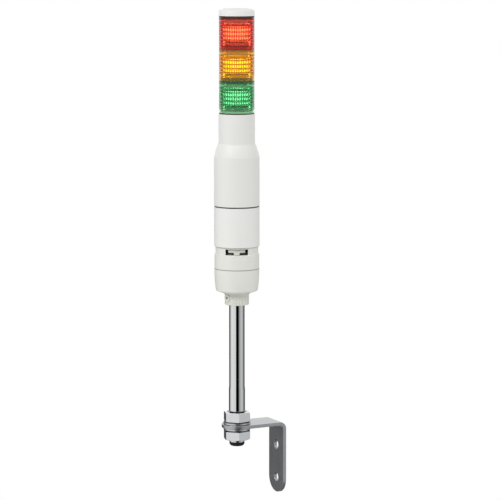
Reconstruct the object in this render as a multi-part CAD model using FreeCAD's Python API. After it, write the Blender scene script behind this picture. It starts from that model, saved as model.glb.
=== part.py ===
"""Stack light: three LED globes on a sounder case, carried by a tube pole and an L bracket.

Frame: millimetres, +Z up along the pole, +X from the pole towards the wall.  The origin is the
centre of the two wall bolts, on the face of the bracket that lies against the wall.
Angles on the head are counted from its front, which faces -Y before the head is turned.
"""
import FreeCAD
import Part
import math
import os

V = FreeCAD.Vector
UP = V(0, 0, 1)

# ---------------------------------------------------------------- driving dimensions
# L bracket
plate_width = 34.0
plate_thickness = 3.8
pole_offset = 53.2            # pole axis to the wall face
leg_length = 82.5             # top of the plate to the tip of the leg
bend_radius = 4.0             # inside of the bend
wall_hole_diameter = 10.0
wall_hole_spacing = 37.0

# pole, nuts and washers
pole_diameter = 17.2
pole_wall = 1.6
pole_free_length = 120.5      # upper nut to the collar
pole_in_collar = 22.0
thread_diameter = 18.0
thread_above_nut = 29.0
pole_below_nut = 2.5
pole_end_chamfer = 0.6
nut_across_flats = 27.0
nut_height = 11.0
nut_chamfer_angle = 25.0
nut_turn = 12.5               # one corner, counted from +X
washer_diameter = 30.0
washer_thickness = 2.7
bush_flange_height = 4.6
bush_shank_length = 12.0
cable_hole_diameter = 8.0

# pole bracket: collar below, cup above
collar_diameter = 26.8
collar_height = 12.8
collar_flare = 1.4
grip_count = 24               # flutes round a full collar
grip_depth = 0.45
grip_width = 1.7
underside_rise = 2.6          # shallow cone from the collar to the cup's foot
cup_height = 25.0
cup_diameter = 49.4
cup_foot_diameter = 46.4
cup_foot_round = 1.5
screw_boss_angle = -50.0      # counted from the head's front
screw_boss_diameter = 8.0
screw_boss_stand = 1.2
clamp_screw_diameter = 3.5
clamp_screw_sunk = 1.4

# sound ring and volume lever
band_height = 16.8
band_diameter = 49.3
band_lip = 0.6
groove_height = 7.6
groove_diameter = 47.0
window_width = 24.5
window_height = 6.3
lever_plate_width = 18.7
lever_plate_height = 3.0
lever_stem_width = 6.2
lever_stem_height = 2.7
lever_thickness = 1.2
lever_hub_width = 3.6
deck_thickness = 1.8
hub_diameter = 18.8
hub_wall = 1.4
hub_height = 4.0
buzzer_diameter = 30.0
buzzer_height = 7.0

# cases
case_diameter = 50.0
case_wall = 2.0
lower_case_height = 43.8
case_chamfer = 0.8
o_ring_height = 1.3
o_ring_recess = 0.3
upper_body_height = 52.9
shoulder_height = 15.7
shoulder_bulge = 0.6          # how far the shoulder stands off a straight cone
neck_height = 32.2
neck_diameter = 40.0
spigot_height = 4.0
spigot_wall = 1.6
board_width = 40.0
board_height = 84.0
board_thickness = 1.6

# stages
stage_count = 3
lens_diameter = 39.0
lens_height = 34.2
lens_wall = 1.6
lens_chamfer = 0.4
lens_spigot_height = 3.0
lens_spigot_wall = 1.4
lens_socket_depth = 4.0
prism_count = 7
prism_pitch = 4.0
prism_depth = 1.1
joint_gasket_height = 0.8
base_gasket_height = 1.2
gasket_recess = 0.25
divider_thickness = 1.7
led_board_width = 24.0
led_board_thickness = 1.2
led_board_gap = 4.0           # between the two boards of a stage
led_tongue_width = 12.0
led_size = 3.5
led_height = 1.0
led_rows = 3
led_columns = 4
facet_columns = 12            # lens plate in front of the lamps
facet_rows = 5
facet_width = 2.54
facet_height = 3.6
facet_depth = 0.5
lens_plate_thickness = 1.7
lens_plate_gap = 1.4          # board to lens plate
lens_plate_leg = 2.4
lens_plate_drop = 1.0         # middle of the plate below the middle of the globe
rod_diameter = 3.2

# cap
cap_diameter = 39.4
cap_height = 8.1
cap_flat_diameter = 26.0
cap_slope_drop = 1.9
cap_socket_depth = 3.0
cap_roof = 2.0

# head as a whole
head_turn = -27.5             # head on the bracket, about the pole
case_screw_diameter = 3.0
case_screw_length = 24.0
case_screw_circle = 34.0
case_screw_angles = (60.0, 180.0, 300.0)

# clearances
fit = 0.1                     # moulded spigots, screws and the lever's hub, on the radius
sliding_gap = 0.3             # lever plate inside the wall
pole_fit = 0.05
bolt_play = 0.25              # nuts, washers and plate round the thread

# ---------------------------------------------------------------- heights, from the wall bolts up
leg_tip_z = -wall_hole_spacing / 2 - plate_width / 2
plate_top_z = leg_tip_z + leg_length
plate_bottom_z = plate_top_z - plate_thickness
upper_nut_z = plate_top_z + washer_thickness
upper_nut_top_z = upper_nut_z + nut_height
lower_nut_top_z = plate_bottom_z - washer_thickness
lower_nut_z = lower_nut_top_z - nut_height
pole_bottom_z = lower_nut_z - pole_below_nut
collar_z = upper_nut_top_z + pole_free_length
pole_top_z = collar_z + pole_in_collar
collar_top_z = collar_z + collar_height
cup_z = collar_top_z + underside_rise
band_z = cup_z + cup_height
band_top_z = band_z + band_height
deck_top_z = band_top_z - sliding_gap
deck_z = deck_top_z - deck_thickness
hub_top_z = deck_top_z + hub_height
lower_case_z = band_top_z + groove_height
lower_case_top_z = lower_case_z + lower_case_height
upper_case_z = lower_case_top_z + o_ring_height
shoulder_z = upper_case_z + upper_body_height
neck_z = shoulder_z + shoulder_height
neck_top_z = neck_z + neck_height
first_lens_z = neck_top_z + base_gasket_height
stage_pitch = lens_height + joint_gasket_height
last_lens_z = first_lens_z + (stage_count - 1) * stage_pitch
cap_z = last_lens_z + lens_height + base_gasket_height
cap_top_z = cap_z + cap_height

# ---------------------------------------------------------------- radii that pieces share
pole_r = pole_diameter / 2
pole_bore_r = pole_r - pole_wall
thread_r = thread_diameter / 2
collar_r = collar_diameter / 2
case_r = case_diameter / 2
case_inner_r = case_r - case_wall
groove_r = groove_diameter / 2
groove_inner_r = groove_r - case_wall
band_r = band_diameter / 2
band_inner_r = band_r - case_wall
neck_r = neck_diameter / 2
lens_r = lens_diameter / 2
lens_inner_r = lens_r - lens_wall
socket_r = lens_inner_r + fit
spigot_r = lens_inner_r
spigot_inner_r = spigot_r - lens_spigot_wall
rod_r = rod_diameter / 2
hub_r = hub_diameter / 2
case_screw_r = case_screw_diameter / 2


# ---------------------------------------------------------------- helpers
def cylinder(radius, bottom, top, x=0.0, y=0.0):
    return Part.makeCylinder(radius, top - bottom, V(x, y, bottom))


def block(x0, x1, y0, y1, z0, z1):
    return Part.makeBox(x1 - x0, y1 - y0, z1 - z0, V(x0, y0, z0))


def turned(corners):
    """Solid of revolution about Z; corners are (radius, height) in order."""
    points = [V(radius, 0, height) for radius, height in corners]
    return Part.Face(Part.makePolygon(points + points[:1])).revolve(V(), UP, 360)


def turned_edges(edges):
    """Solid of revolution about Z from edges that close on themselves in the XZ plane."""
    return Part.Face(Part.Wire(edges)).revolve(V(), UP, 360)


def line(a, b):
    return Part.LineSegment(V(a[0], 0, a[1]), V(b[0], 0, b[1])).toShape()


def arc(a, middle, b):
    return Part.Arc(V(a[0], 0, a[1]), V(middle[0], 0, middle[1]), V(b[0], 0, b[1])).toShape()


def tube(outer_r, inner_r, bottom, top):
    return turned([(inner_r, bottom), (outer_r, bottom), (outer_r, top), (inner_r, top)])


def turn(shape, angle):
    copy = shape.copy()
    copy.rotate(V(), UP, angle)
    return copy


def joined(first, *others):
    return first.multiFuse(list(others)).removeSplitter() if others else first


def round_the_screws(make):
    """One copy of make() at each case screw, whose place is first on the head's front."""
    return [turn(make(), angle) for angle in case_screw_angles]


# ---------------------------------------------------------------- bracket, pole, nuts, washers
def mounting_bracket():
    """Flat bar with two round ends, bent once."""
    outer_bend = bend_radius + plate_thickness
    diagonal = math.sqrt(0.5)
    end_x = -pole_offset - plate_width / 2
    bend_x, bend_z = -outer_bend, plate_top_z - outer_bend

    def bend_arc(radius, a, b):
        return arc(a, (bend_x + radius * diagonal, bend_z + radius * diagonal), b)

    edges = [
        line((end_x, plate_top_z), (bend_x, plate_top_z)),
        bend_arc(outer_bend, (bend_x, plate_top_z), (0, bend_z)),
        line((0, bend_z), (0, leg_tip_z)),
        line((0, leg_tip_z), (-plate_thickness, leg_tip_z)),
        line((-plate_thickness, leg_tip_z), (-plate_thickness, bend_z)),
        bend_arc(bend_radius, (-plate_thickness, bend_z), (bend_x, plate_bottom_z)),
        line((bend_x, plate_bottom_z), (end_x, plate_bottom_z)),
        line((end_x, plate_bottom_z), (end_x, plate_top_z)),
    ]
    half = plate_width / 2
    bar = Part.Face(Part.Wire(edges)).extrude(V(0, plate_width, 0))
    bar.translate(V(0, -half, 0))

    pole_end = joined(cylinder(half, leg_tip_z - 1, plate_top_z + 1, -pole_offset),
                      block(-pole_offset, 1, -half, half, leg_tip_z - 1, plate_top_z + 1))
    lower_hole_z = -wall_hole_spacing / 2
    leg_end = Part.makeCylinder(half, pole_offset + plate_width, V(end_x - 1, 0, lower_hole_z), V(1, 0, 0))
    leg_end = joined(leg_end, block(end_x - 1, 1, -half, half, lower_hole_z, plate_top_z + 1))
    bar = bar.common(pole_end).common(leg_end)

    bar = bar.cut(cylinder(thread_r + bolt_play, plate_bottom_z - 1, plate_top_z + 1, -pole_offset))
    for height in (-wall_hole_spacing / 2, wall_hole_spacing / 2):
        hole = Part.makeCylinder(wall_hole_diameter / 2, plate_thickness + 2,
                                 V(-plate_thickness - 1, 0, height), V(1, 0, 0))
        bar = bar.cut(hole)
    return bar


def pole():
    thread_top_z = upper_nut_top_z + thread_above_nut
    runout = thread_r - pole_r
    return turned([
        (pole_bore_r, pole_bottom_z), (thread_r - pole_end_chamfer, pole_bottom_z),
        (thread_r, pole_bottom_z + pole_end_chamfer), (thread_r, thread_top_z - runout),
        (pole_r, thread_top_z), (pole_r, pole_top_z - pole_end_chamfer),
        (pole_r - pole_end_chamfer, pole_top_z), (pole_bore_r, pole_top_z)])


def nut(bottom):
    """Hexagon nut with the corners of both faces turned off."""
    corner_r = nut_across_flats / math.sqrt(3)
    face_r = nut_across_flats / 2 * 0.98
    slope = (corner_r - face_r) * math.tan(math.radians(nut_chamfer_angle))
    top = bottom + nut_height
    corners = [V(corner_r * math.cos(a), corner_r * math.sin(a), bottom)
               for a in (math.radians(nut_turn + 60 * i) for i in range(6))]
    prism = Part.Face(Part.makePolygon(corners + corners[:1])).extrude(V(0, 0, nut_height))
    rounding = turned([(0, bottom), (face_r, bottom), (corner_r, bottom + slope),
                       (corner_r, top - slope), (face_r, top), (0, top)])
    return prism.common(rounding).cut(cylinder(thread_r + pole_fit, bottom - 1, top + 1))


def washer(bottom):
    return tube(washer_diameter / 2, thread_r + bolt_play, bottom, bottom + washer_thickness)


def end_bush():
    """Soft plug with a rounded flange; the leads leave through its hole."""
    flange_r = thread_r - pole_end_chamfer
    bottom = pole_bottom_z - bush_flange_height
    hole_r = cable_hole_diameter / 2
    crown_r = (hole_r + flange_r) / 2
    crown = (flange_r - (flange_r - crown_r) * (1 - math.sqrt(0.5)),
             pole_bottom_z - 1 - (bush_flange_height - 1) * math.sqrt(0.5))
    shank_r = pole_bore_r - pole_fit
    shank_top = pole_bottom_z + bush_shank_length
    return turned_edges([
        line((hole_r, bottom), (crown_r, bottom)),
        arc((crown_r, bottom), crown, (flange_r, pole_bottom_z - 1)),
        line((flange_r, pole_bottom_z - 1), (flange_r, pole_bottom_z)),
        line((flange_r, pole_bottom_z), (shank_r, pole_bottom_z)),
        line((shank_r, pole_bottom_z), (shank_r, shank_top)),
        line((shank_r, shank_top), (hole_r, shank_top)),
        line((hole_r, shank_top), (hole_r, bottom))])


# ---------------------------------------------------------------- pole bracket
def screw_boss_direction():
    angle = math.radians(screw_boss_angle - 90)
    return V(math.cos(angle), math.sin(angle), 0)


screw_boss_z = collar_z + collar_height * 0.62
collar_hub_r = pole_r + 3.0
post_r = case_screw_r + 1.8
screw_circle_r = case_screw_circle / 2
post_top_z = band_z + 2.0


def bracket_outside():
    """Cup and collar as one full turned solid."""
    cup_r, foot_r = cup_diameter / 2, cup_foot_diameter / 2
    flare_r = collar_r + collar_flare
    side_mid = ((cup_r + foot_r) / 2 + (cup_r - foot_r) * 0.2, cup_z + cup_height * 0.42)
    foot_side = (foot_r, cup_z + cup_foot_round)
    foot_under = (foot_r - cup_foot_round, cup_z)
    corner = (foot_r - cup_foot_round * (1 - math.sqrt(0.5)), cup_z + cup_foot_round * (1 - math.sqrt(0.5)))
    return turned_edges([
        line((0, collar_z), (collar_r - 0.5, collar_z)),
        line((collar_r - 0.5, collar_z), (collar_r, collar_z + 0.5)),
        line((collar_r, collar_z + 0.5), (collar_r, collar_top_z - collar_flare)),
        line((collar_r, collar_top_z - collar_flare), (flare_r, collar_top_z)),
        line((flare_r, collar_top_z), foot_under),
        arc(foot_under, corner, foot_side),
        arc(foot_side, side_mid, (cup_r, band_z)),
        line((cup_r, band_z), (0, band_z)),
        line((0, band_z), (0, collar_z))])


def bracket_shell():
    """The outside, hollowed in the cup to an even wall."""
    cup_r, foot_r = cup_diameter / 2, cup_foot_diameter / 2
    flare_r = collar_r + collar_flare
    floor_z = collar_top_z + case_wall
    inner_foot_r = foot_r - case_wall - 0.4
    hollow = turned([
        (0, floor_z), (flare_r, floor_z), (inner_foot_r - cup_foot_round, cup_z + case_wall),
        (inner_foot_r, cup_z + case_wall + cup_foot_round), (cup_r - case_wall - 0.3, band_z + 1), (0, band_z + 1)])
    return bracket_outside().cut(hollow)


def bracket_post():
    """Screw post that stands on the cup's sloping floor and ends above its rim."""
    foot = cylinder(post_r, collar_top_z, band_z - 1, 0, -screw_circle_r).common(bracket_outside())
    return joined(foot, cylinder(post_r, band_z - 2, post_top_z, 0, -screw_circle_r))


def pole_bracket():
    spigot_top = band_z + spigot_height
    spigot_outer = band_inner_r - fit
    spigot = tube(spigot_outer, spigot_outer - spigot_wall, band_z - case_wall, spigot_top)
    hub = cylinder(collar_hub_r, collar_top_z, pole_top_z + case_wall)
    boss_end = collar_r + screw_boss_stand
    boss = Part.makeCylinder(screw_boss_diameter / 2, boss_end, V(0, 0, screw_boss_z), screw_boss_direction())
    body = joined(bracket_shell(), spigot, hub, boss, *round_the_screws(bracket_post))

    body = body.cut(cylinder(pole_r + pole_fit, collar_z - 1, pole_top_z))
    body = body.cut(cylinder(pole_bore_r, pole_top_z - 1, pole_top_z + case_wall + 1))
    body = body.cut(Part.makeCylinder(clamp_screw_diameter / 2 + pole_fit, boss_end + 1,
                                      V(0, 0, screw_boss_z), screw_boss_direction()))
    bore_z = deck_top_z - case_screw_length - 1
    for bore in round_the_screws(lambda: cylinder(case_screw_r + pole_fit, bore_z, post_top_z + 1,
                                                  0, -screw_circle_r)):
        body = body.cut(bore)
    return body.cut(Part.makeCompound(grip_flutes()))


def grip_flutes():
    """Shallow upright flutes round the collar, left out beside the screw boss."""
    step = 360.0 / grip_count
    flute_r = (grip_width ** 2 / 4 + grip_depth ** 2) / (2 * grip_depth)
    plain = math.degrees(math.asin(screw_boss_diameter / 2 / collar_r)) + step
    flutes = []
    for index in range(grip_count):
        angle = index * step
        if abs((angle - screw_boss_angle + 180) % 360 - 180) < plain:
            continue
        flute = cylinder(flute_r, collar_z - 1, collar_top_z - collar_flare,
                         0, -(collar_r - grip_depth + flute_r))
        flutes.append(turn(flute, angle))
    return flutes


def clamp_screw():
    """Grub screw that bites on the pole; its socket is a cross of two slots."""
    radius = clamp_screw_diameter / 2
    tip = pole_r + pole_fit
    end = collar_r + screw_boss_stand - clamp_screw_sunk
    direction = screw_boss_direction()
    screw = Part.makeCylinder(radius, end - tip, V(0, 0, screw_boss_z) + direction * tip, direction)
    slot = block(-radius * 0.75, radius * 0.75, -end - 1, -end + radius, screw_boss_z - 0.3, screw_boss_z + 0.3)
    cross = block(-0.3, 0.3, -end - 1, -end + radius, screw_boss_z - radius * 0.75, screw_boss_z + radius * 0.75)
    return screw.cut(turn(joined(slot, cross), screw_boss_angle))


# ---------------------------------------------------------------- sound ring, lever, buzzer, screws
def sound_ring():
    spigot_outer = case_inner_r - fit
    spigot_top = lower_case_z + spigot_height
    ring = turned([
        (band_inner_r, band_z), (band_r, band_z), (band_r, band_top_z - band_lip),
        (band_r - band_lip, band_top_z), (groove_r, band_top_z), (groove_r, lower_case_z),
        (spigot_outer, lower_case_z), (spigot_outer, spigot_top), (groove_inner_r, spigot_top),
        (groove_inner_r, deck_top_z), (hub_r, deck_top_z), (hub_r, hub_top_z),
        (hub_r - hub_wall, hub_top_z), (hub_r - hub_wall, deck_z), (band_inner_r, deck_z)])
    ring = joined(ring, *round_the_screws(lambda: cylinder(post_r, post_top_z, deck_z + 0.5,
                                                           0, -screw_circle_r)))
    for bore in round_the_screws(lambda: cylinder(case_screw_r + fit, post_top_z - 1, deck_top_z + 1,
                                                  0, -screw_circle_r)):
        ring = ring.cut(bore)
    half = window_width / 2
    window_back = math.sqrt(groove_inner_r ** 2 - half ** 2) - case_wall
    return ring.cut(block(-half, half, -band_r - 1, -window_back, band_top_z, band_top_z + window_height))


def volume_lever():
    """Flat arm on the hub that carries a curved shutter plate and a stem for the finger."""
    plate_r = groove_inner_r - sliding_gap
    inner_r = plate_r - lever_thickness
    bottom = deck_top_z + fit
    stem_z = band_top_z + sliding_gap
    plate_z = stem_z + lever_stem_height - sliding_gap
    plate_top = plate_z + lever_plate_height
    shell = tube(plate_r, inner_r, bottom, plate_top)
    half_plate, half_stem = lever_plate_width / 2, lever_stem_width / 2
    plate = shell.common(block(-half_plate, half_plate, -plate_r - 1, 0, plate_z, plate_top))
    stem = shell.common(block(-half_stem, half_stem, -plate_r - 1, 0, bottom, plate_top))
    tab = block(-half_stem, half_stem, -groove_r + fit * 6, -inner_r - lever_thickness / 2, stem_z, plate_z)
    arm = block(-half_stem, half_stem, -inner_r - lever_thickness / 2, -hub_r - lever_hub_width / 2,
                bottom, bottom + lever_thickness)
    ring = cylinder(hub_r + lever_hub_width, bottom, bottom + lever_thickness)
    lever = joined(plate, stem, tab, arm, ring)
    return lever.cut(cylinder(hub_r + fit, bottom - 1, plate_top))


def buzzer():
    radius = buzzer_diameter / 2
    top = hub_top_z + buzzer_height
    return turned([
        (hub_r - hub_wall - 1, hub_top_z), (radius - 0.6, hub_top_z), (radius, hub_top_z + 0.6),
        (radius, top - 0.6), (radius - 0.6, top), (0, top), (0, hub_top_z + 2),
        (hub_r - hub_wall - 1, hub_top_z + 2)])


def case_screws():
    def screw():
        head_r = case_screw_r * 1.85
        shank = cylinder(case_screw_r, deck_top_z - case_screw_length, deck_top_z + 0.5, 0, -screw_circle_r)
        head = cylinder(head_r, deck_top_z, deck_top_z + 2, 0, -screw_circle_r)
        slot = block(-0.35, 0.35, -screw_circle_r - head_r * 0.65, -screw_circle_r + head_r * 0.65,
                     deck_top_z + 0.9, deck_top_z + 3)
        cross = block(-head_r * 0.65, head_r * 0.65, -screw_circle_r - 0.35, -screw_circle_r + 0.35,
                      deck_top_z + 0.9, deck_top_z + 3)
        return joined(shank, head).cut(slot).cut(cross)
    return Part.makeCompound(round_the_screws(screw))


# ---------------------------------------------------------------- cases and control board
web_z = lower_case_z + spigot_height + fit
web_hole_r = case_inner_r * 0.5
board_z = web_z + case_wall


def lower_case():
    spigot_outer = case_inner_r - fit
    spigot_top = upper_case_z + spigot_height
    shell = turned([
        (case_inner_r, lower_case_z), (case_r - case_chamfer, lower_case_z),
        (case_r, lower_case_z + case_chamfer), (case_r, lower_case_top_z - case_chamfer / 2),
        (case_r - case_chamfer / 2, lower_case_top_z), (spigot_outer, lower_case_top_z),
        (spigot_outer, spigot_top), (spigot_outer - spigot_wall, spigot_top),
        (spigot_outer - spigot_wall, lower_case_top_z - case_wall), (case_inner_r, lower_case_top_z - 2 * case_wall),
        (case_inner_r, board_z), (web_hole_r, board_z), (web_hole_r, web_z), (case_inner_r, web_z)])
    posts = []
    for side in (-1, 1):
        x = side * (board_width / 2 - 2)
        post = block(x - 2.5, x + 2.5, -2.5, 2.5, board_z - 0.5, board_z + 8)
        slot = board_thickness / 2 + fit
        inside = side * (board_width / 2 + fit)
        post = post.cut(block(min(0, inside), max(0, inside), -slot, slot, board_z, board_z + 9))
        posts.append(post)
    return joined(shell, *posts)


def upper_case():
    """Body, domed shoulder and neck, drawn as one shell with an even wall."""
    spigot_top = first_lens_z + lens_socket_depth - divider_thickness - fit
    slope_mid_z = shoulder_z + shoulder_height / 2
    mid_r = (case_r + neck_r) / 2 + shoulder_bulge
    deck = neck_top_z - 2 * case_wall
    boss_r = rod_r + 2
    shell = turned_edges([
        line((case_inner_r, upper_case_z), (case_r - case_chamfer / 2, upper_case_z)),
        line((case_r - case_chamfer / 2, upper_case_z), (case_r, upper_case_z + case_chamfer / 2)),
        line((case_r, upper_case_z + case_chamfer / 2), (case_r, shoulder_z)),
        arc((case_r, shoulder_z), (mid_r, slope_mid_z), (neck_r, neck_z)),
        line((neck_r, neck_z), (neck_r, neck_top_z)),
        line((neck_r, neck_top_z), (spigot_r, neck_top_z)),
        line((spigot_r, neck_top_z), (spigot_r, spigot_top)),
        line((spigot_r, spigot_top), (spigot_inner_r, spigot_top)),
        line((spigot_inner_r, spigot_top), (spigot_inner_r, deck)),
        line((spigot_inner_r, deck), (rod_r + pole_fit, deck)),
        line((rod_r + pole_fit, deck), (rod_r + pole_fit, deck - 10)),
        line((rod_r + pole_fit, deck - 10), (boss_r, deck - 10)),
        line((boss_r, deck - 10), (boss_r, deck - case_wall)),
        line((boss_r, deck - case_wall), (neck_r - case_wall, deck - case_wall)),
        line((neck_r - case_wall, deck - case_wall), (neck_r - case_wall, neck_z - 1)),
        arc((neck_r - case_wall, neck_z - 1), (mid_r - case_wall, slope_mid_z - 0.5), (case_inner_r, shoulder_z)),
        line((case_inner_r, shoulder_z), (case_inner_r, upper_case_z))])
    for angle in (0, 120, 240):
        shell = shell.cut(turn(cylinder(3.0, deck - case_wall - 1, deck + 1, 0, -spigot_inner_r * 0.62), angle))
    return shell


def case_o_ring():
    outer = case_r - o_ring_recess
    inner = case_inner_r
    top = upper_case_z
    middle = (lower_case_top_z + top) / 2
    bulge = o_ring_height / 4
    return turned_edges([
        line((inner, lower_case_top_z), (outer - bulge, lower_case_top_z)),
        arc((outer - bulge, lower_case_top_z), (outer, middle), (outer - bulge, top)),
        line((outer - bulge, top), (inner, top)),
        line((inner, top), (inner, lower_case_top_z))])


def control_board():
    """Circuit board on edge, with its larger components."""
    half, face = board_width / 2, board_thickness / 2
    board = block(-half, half, -face, face, board_z, board_z + board_height)
    tall_parts = []
    for x, height, radius in ((-10, 24, 4.5), (2, 26, 4), (11, 22, 3)):
        tall_parts.append(Part.makeCylinder(radius, 11, V(x, -face - 11, board_z + height), V(0, 1, 0)))
    relay = block(-9, 9, -face - 9, -face, board_z + 40, board_z + 53)
    header = block(-8, 8, face, face + 7, board_z + board_height - 12, board_z + board_height - 4)
    chip = block(-6, 6, face, face + 1.6, board_z + 30, board_z + 44)
    return joined(board, relay, header, chip, *tall_parts)


# ---------------------------------------------------------------- stages
def lens(bottom):
    """Globe: socket below, spigot above, and prism rings round the inside."""
    top = bottom + lens_height
    spigot_top = top + lens_spigot_height
    shoulder = bottom + lens_socket_depth
    prisms_z = shoulder + (lens_height - lens_socket_depth - prism_count * prism_pitch) * 0.2
    corners = [
        (socket_r, bottom), (lens_r - lens_chamfer, bottom), (lens_r, bottom + lens_chamfer),
        (lens_r, top - lens_chamfer), (lens_r - lens_chamfer, top), (spigot_r, top),
        (spigot_r, spigot_top), (spigot_inner_r, spigot_top), (spigot_inner_r, top - lens_spigot_wall / 2),
        (lens_inner_r, top - lens_spigot_wall)]
    for index in reversed(range(prism_count)):
        ring_z = prisms_z + index * prism_pitch
        corners.append((lens_inner_r, ring_z + prism_pitch * 0.96))
        corners.append((lens_inner_r - prism_depth, ring_z + prism_pitch * 0.5))
        corners.append((lens_inner_r, ring_z + prism_pitch * 0.04))
    corners.append((lens_inner_r, shoulder))
    corners.append((socket_r, shoulder))
    return turned(corners)


def gasket(bottom, height, outer_r):
    return tube(outer_r - gasket_recess, socket_r, bottom, bottom + height)


def divider(lens_bottom):
    """White reflector plate that sits on the spigot below and keeps the colours apart."""
    top = lens_bottom + lens_socket_depth - fit
    plate = tube(socket_r - fit, rod_r + 2 * fit, top - divider_thickness, top)
    half = led_tongue_width / 2 + fit
    near, far = led_board_gap / 2 - fit, led_board_gap / 2 + led_board_thickness + fit
    for side in (-1, 1):
        low, high = sorted((side * near, side * far))
        plate = plate.cut(block(-half, half, low, high, top - divider_thickness - 1, top + 1))
    return plate


def stage_floor(lens_bottom):
    return lens_bottom + lens_socket_depth - fit


def stage_ceiling(lens_bottom):
    return lens_bottom + stage_pitch + lens_socket_depth - divider_thickness - 2 * fit


board_face = led_board_gap / 2 + led_board_thickness


def led_boards(lens_bottom):
    """Two boards back to back, tongued into the dividers, with the lamps on their outer faces."""
    bottom, top = stage_floor(lens_bottom), stage_ceiling(lens_bottom)
    half, near = led_board_width / 2, led_board_gap / 2
    tongue, reach = led_tongue_width / 2, divider_thickness * 0.45
    pieces = [block(-half, half, near, board_face, bottom, top),
              block(-tongue, tongue, near, board_face, bottom - reach, top + reach)]
    middle = lens_bottom + lens_height / 2 - lens_plate_drop
    row_pitch = facet_rows * facet_height / led_rows
    column_pitch = led_board_width / led_columns
    for row in range(led_rows):
        for column in range(led_columns):
            x = (column + 0.5) * column_pitch - half
            z = middle + (row - (led_rows - 1) / 2) * row_pitch
            pieces.append(block(x - led_size / 2, x + led_size / 2, board_face, board_face + led_height,
                                z - led_size / 2, z + led_size / 2))
    board = joined(*pieces)
    return Part.makeCompound([board, turn(board, 180)])


def v_groove(width, depth, length):
    """Three-sided bar along X whose sharp edge points to +Y, for cutting between two facets."""
    corners = [V(0, 0, -width / 2), V(0, depth, 0), V(0, 0, width / 2)]
    return Part.Face(Part.makePolygon(corners + corners[:1])).extrude(V(length, 0, 0))


def lens_plates(lens_bottom):
    """Clear plates, one before each board: upright facets outside, level ones on the back."""
    near = board_face + lens_plate_gap
    far = near + lens_plate_thickness
    half = facet_columns * facet_width / 2
    height = facet_rows * facet_height
    middle = lens_bottom + lens_height / 2 - lens_plate_drop
    low, high = middle - height / 2, middle + height / 2
    plate = block(-half, half, near, far, low, high)
    for index in range(facet_rows + 1):
        groove = v_groove(facet_height * 0.4, facet_depth, 2 * half + 2)
        groove.translate(V(-half - 1, near, low + index * facet_height))
        plate = plate.cut(groove)
    for index in range(facet_columns + 1):
        groove = v_groove(facet_width * 0.6, facet_depth, height + 2)
        groove.rotate(V(), V(0, 1, 0), -90)
        groove.rotate(V(), UP, 180)
        groove.translate(V(-half + index * facet_width, far, low - 1))
        plate = plate.cut(groove)
    carriers = []
    for side in (-1, 1):
        x0, x1 = sorted((side * half, side * (half - lens_plate_leg)))
        carriers.append(block(x0, x1, near + facet_depth, far - facet_depth, stage_floor(lens_bottom), middle))
    plate = joined(plate, *carriers)
    return Part.makeCompound([plate, turn(plate, 180)])


def centre_rod():
    deck = neck_top_z - 2 * case_wall
    return cylinder(rod_r, deck - 10, cap_top_z - cap_roof - fit)


def top_cap():
    """Cap with a flat crown, a socket for the last globe and a boss for the rod."""
    radius = cap_diameter / 2
    roof_z = cap_top_z - cap_roof
    ceiling = cap_z + cap_socket_depth
    boss_r = rod_r + 2.5
    pocket_r = spigot_inner_r - 1.5
    return turned([
        (socket_r, cap_z), (radius, cap_z), (radius, cap_top_z - cap_slope_drop),
        (cap_flat_diameter / 2, cap_top_z), (0, cap_top_z), (0, roof_z), (rod_r + pole_fit, roof_z),
        (rod_r + pole_fit, ceiling), (boss_r, ceiling), (boss_r, roof_z - 0.5),
        (pocket_r - 2, roof_z - 0.5), (pocket_r, ceiling), (socket_r, ceiling)])


# ---------------------------------------------------------------- the whole light
def all_parts():
    lens_z = [first_lens_z + index * stage_pitch for index in range(stage_count)]
    fixed = {
        "pole": pole(),
        "upper_nut": nut(upper_nut_z),
        "lower_nut": nut(lower_nut_z),
        "upper_washer": washer(plate_top_z),
        "lower_washer": washer(lower_nut_top_z),
        "end_bush": end_bush(),
    }
    head = {
        "pole_bracket": pole_bracket(),
        "clamp_screw": clamp_screw(),
        "sound_ring": sound_ring(),
        "volume_lever": volume_lever(),
        "buzzer": buzzer(),
        "case_screws": case_screws(),
        "lower_case": lower_case(),
        "case_o_ring": case_o_ring(),
        "upper_case": upper_case(),
        "control_board": control_board(),
        "base_gasket": gasket(neck_top_z, base_gasket_height, lens_r),
        "lower_lens_gasket": gasket(lens_z[0] + lens_height, joint_gasket_height, lens_r),
        "upper_lens_gasket": gasket(lens_z[1] + lens_height, joint_gasket_height, lens_r),
        "cap_gasket": gasket(cap_z - base_gasket_height, base_gasket_height, lens_r),
        "centre_rod": centre_rod(),
        "top_cap": top_cap(),
    }
    for colour, place, bottom in zip(("green", "amber", "red"), ("base", "lower", "upper"), lens_z):
        head[colour + "_lens"] = lens(bottom)
        head[colour + "_lens_plates"] = lens_plates(bottom)
        head[colour + "_led_boards"] = led_boards(bottom)
        head[place + "_divider"] = divider(bottom)

    parts = {"mounting_bracket": mounting_bracket()}
    for name, shape in fixed.items():
        shape.translate(V(-pole_offset, 0, 0))
        parts[name] = shape
    for name, shape in head.items():
        shape = turn(shape, head_turn)
        shape.translate(V(-pole_offset, 0, 0))
        parts[name] = shape
    return parts


def main():
    os.makedirs("parts", exist_ok=True)
    for name, shape in all_parts().items():
        shape.exportStep("parts/" + name + ".step")
        print(name, len(shape.Solids), "solid(s)", round(shape.Volume, 1), "mm3", "valid", shape.isValid())


main()
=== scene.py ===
# %% [markdown]
# # A stack light
# A stack light tells people near a machine how it is doing: red, amber and green globes on a round
# case, with a buzzer under them. The solids come from the frame, where every piece already lies in
# its place. This lesson gives the pieces their finish, and models the ones whose edges and curves
# want more than the solids hold.

# %% Load the frame
import math

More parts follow.
